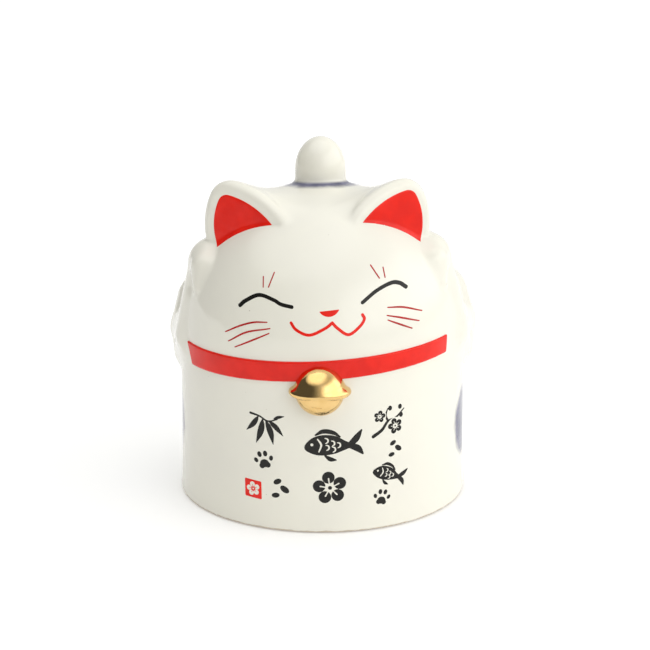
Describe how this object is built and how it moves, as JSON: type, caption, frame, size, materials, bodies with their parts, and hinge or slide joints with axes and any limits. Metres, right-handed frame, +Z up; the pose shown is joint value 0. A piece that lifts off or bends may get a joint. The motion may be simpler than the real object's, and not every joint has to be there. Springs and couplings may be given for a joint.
{
  "type": "beckoning cat figurine",
  "caption": "Hollow glazed ceramic lucky cat, a round domed body with both paws raised, an upright tail, a red collar and a gold bell.",
  "frame": {"origin": "on the surface the cat stands on, at the centre of its footprint box; the round body's axis is 3.9 mm behind it, because the bell stands out in front", "axes": "+Z up along the body's axis; the cat faces -Y, so its own left side is at +X"},
  "size_m": [0.1084, 0.1094, 0.125],
  "materials": {
    "porcelain": "clear gloss glaze on warm white clay",
    "red_enamel": "gloss overglaze red",
    "gold_lustre": "mirror-bright gold lustre over glaze",
    "soft_plastic": "translucent satin soft plastic"
  },
  "bodies": {
    "cat": {"body_shell": "porcelain", "left_ear": "porcelain", "right_ear": "porcelain", "left_arm": "porcelain", "right_arm": "porcelain", "tail": "porcelain", "collar_band": "red_enamel", "bell": "gold_lustre"},
    "stopper": {"base_stopper": "soft_plastic"}
  },
  "joints": [
    {"name": "stopper_pull", "type": "slide", "parent": "cat", "child": "stopper", "axis": [0, 0, -1], "range_m": [0, 0.02]}
  ]
}
